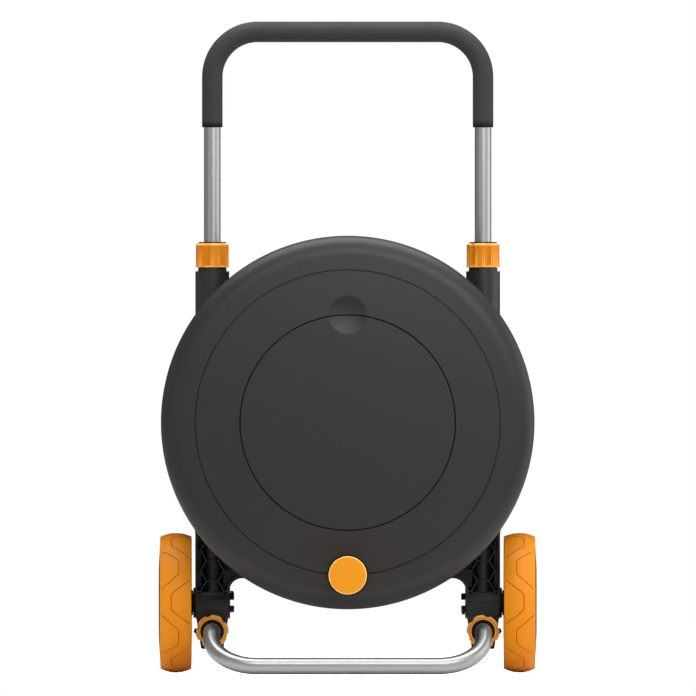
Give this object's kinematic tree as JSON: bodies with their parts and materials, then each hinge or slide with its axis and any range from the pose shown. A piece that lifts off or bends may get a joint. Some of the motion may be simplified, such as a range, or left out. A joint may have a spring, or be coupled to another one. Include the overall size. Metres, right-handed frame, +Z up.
{
  "type": "garden hose reel cart",
  "caption": "Upright two-wheeled hose cart: domed reel disc with flush storage lid and winding knob, ribbed rear frame, telescopic U handle and foot with orange twist collars.",
  "frame": {"origin": "on the ground, in the middle of the cart's width and depth", "axes": "+X to the right seen from the reel's face, -Y out of the reel's face, +Z up"},
  "size_m": [0.5678, 0.392, 0.979],
  "materials": {
    "reel_plastic": "fine grained, satin",
    "frame_plastic": "fine grained, matt",
    "orange_plastic": "satin",
    "orange_tyre": "matt soft polymer",
    "grip_foam": "matt soft sleeve",
    "handle_aluminium": "satin anodised",
    "foot_aluminium": "satin",
    "black_plastic": "satin",
    "steel": "zinc plated",
    "acetal": "natural acetal",
    "seal_rubber": "seal rubber"
  },
  "bodies": {
    "frame": {"rear_frame": "frame_plastic", "foot_stop_screws": "black_plastic", "reel_axle": "black_plastic", "axle_screws": "steel", "axle_washer": "steel", "axle_bolt": "steel", "inlet_elbow": "black_plastic", "inlet_nipple": "orange_plastic", "inlet_seal": "seal_rubber", "left_handle_collet": "black_plastic", "right_handle_collet": "black_plastic", "left_foot_collet": "black_plastic", "right_foot_collet": "black_plastic", "left_axle_bush": "black_plastic", "right_axle_bush": "black_plastic"},
    "reel": {"front_flange": "reel_plastic", "rear_flange": "reel_plastic", "hose_drum": "reel_plastic", "storage_bowl": "black_plastic", "front_screws": "steel", "rear_screws": "steel", "rear_bush": "acetal", "front_bush": "acetal", "axle_seals": "seal_rubber", "feed_pipe": "black_plastic", "hose_outlet": "black_plastic", "knob_spindle": "steel", "spindle_nut": "steel"},
    "knob": {"knob_grip": "orange_plastic", "knob_cap": "orange_plastic"},
    "lid": {"storage_lid": "reel_plastic"},
    "handle": {"handle_tube": "handle_aluminium", "handle_grip": "grip_foam", "handle_glides": "acetal"},
    "foot": {"foot_tube": "foot_aluminium", "foot_plugs": "black_plastic"},
    "left_handle_twist": {"left_handle_collar": "orange_plastic"},
    "left_foot_twist": {"left_foot_collar": "orange_plastic"},
    "left_wheel": {"left_tyre": "orange_tyre", "left_wheel_hub": "black_plastic", "left_wheel_cap": "black_plastic", "left_axle_stub": "black_plastic"},
    "right_handle_twist": {"right_handle_collar": "orange_plastic"},
    "right_foot_twist": {"right_foot_collar": "orange_plastic"},
    "right_wheel": {"right_tyre": "orange_tyre", "right_wheel_hub": "black_plastic", "right_wheel_cap": "black_plastic", "right_axle_stub": "black_plastic"}
  },
  "joints": [
    {"name": "handle_slide", "type": "slide", "parent": "frame", "child": "handle", "axis": [0, 0, 1], "range_m": [-0.17, 0]},
    {"name": "foot_slide", "type": "slide", "parent": "frame", "child": "foot", "axis": [0, 1, 0], "range_m": [0, 0.075]},
    {"name": "reel_spin", "type": "hinge", "parent": "frame", "child": "reel", "pos_m": [0, 0.091, 0.3764], "axis": [0, -1, 0], "continuous": true},
    {"name": "knob_spin", "type": "hinge", "parent": "reel", "child": "knob", "pos_m": [0, 0.091, 0.1479], "axis": [0, -1, 0], "continuous": true},
    {"name": "lid_pull", "type": "slide", "parent": "reel", "child": "lid", "axis": [0, -1, 0], "range_m": [0, 0.08]},
    {"name": "left_handle_lock", "type": "hinge", "parent": "frame", "child": "left_handle_twist", "pos_m": [-0.2036, 0.091, 0.6235], "axis": [0, 0, 1], "range_deg": [0, 90]},
    {"name": "left_foot_lock", "type": "hinge", "parent": "frame", "child": "left_foot_twist", "pos_m": [-0.2036, 0.043, 0.0624], "axis": [0, -1, 0], "range_deg": [0, 90]},
    {"name": "left_wheel_spin", "type": "hinge", "parent": "frame", "child": "left_wheel", "pos_m": [-0.2347, 0.091, 0.105], "axis": [1, 0, 0], "continuous": true},
    {"name": "right_handle_lock", "type": "hinge", "parent": "frame", "child": "right_handle_twist", "pos_m": [0.2036, 0.091, 0.6235], "axis": [0, 0, 1], "range_deg": [0, 90]},
    {"name": "right_foot_lock", "type": "hinge", "parent": "frame", "child": "right_foot_twist", "pos_m": [0.2036, 0.043, 0.0624], "axis": [0, -1, 0], "range_deg": [0, 90]},
    {"name": "right_wheel_spin", "type": "hinge", "parent": "frame", "child": "right_wheel", "pos_m": [0.2347, 0.091, 0.105], "axis": [1, 0, 0], "continuous": true}
  ]
}
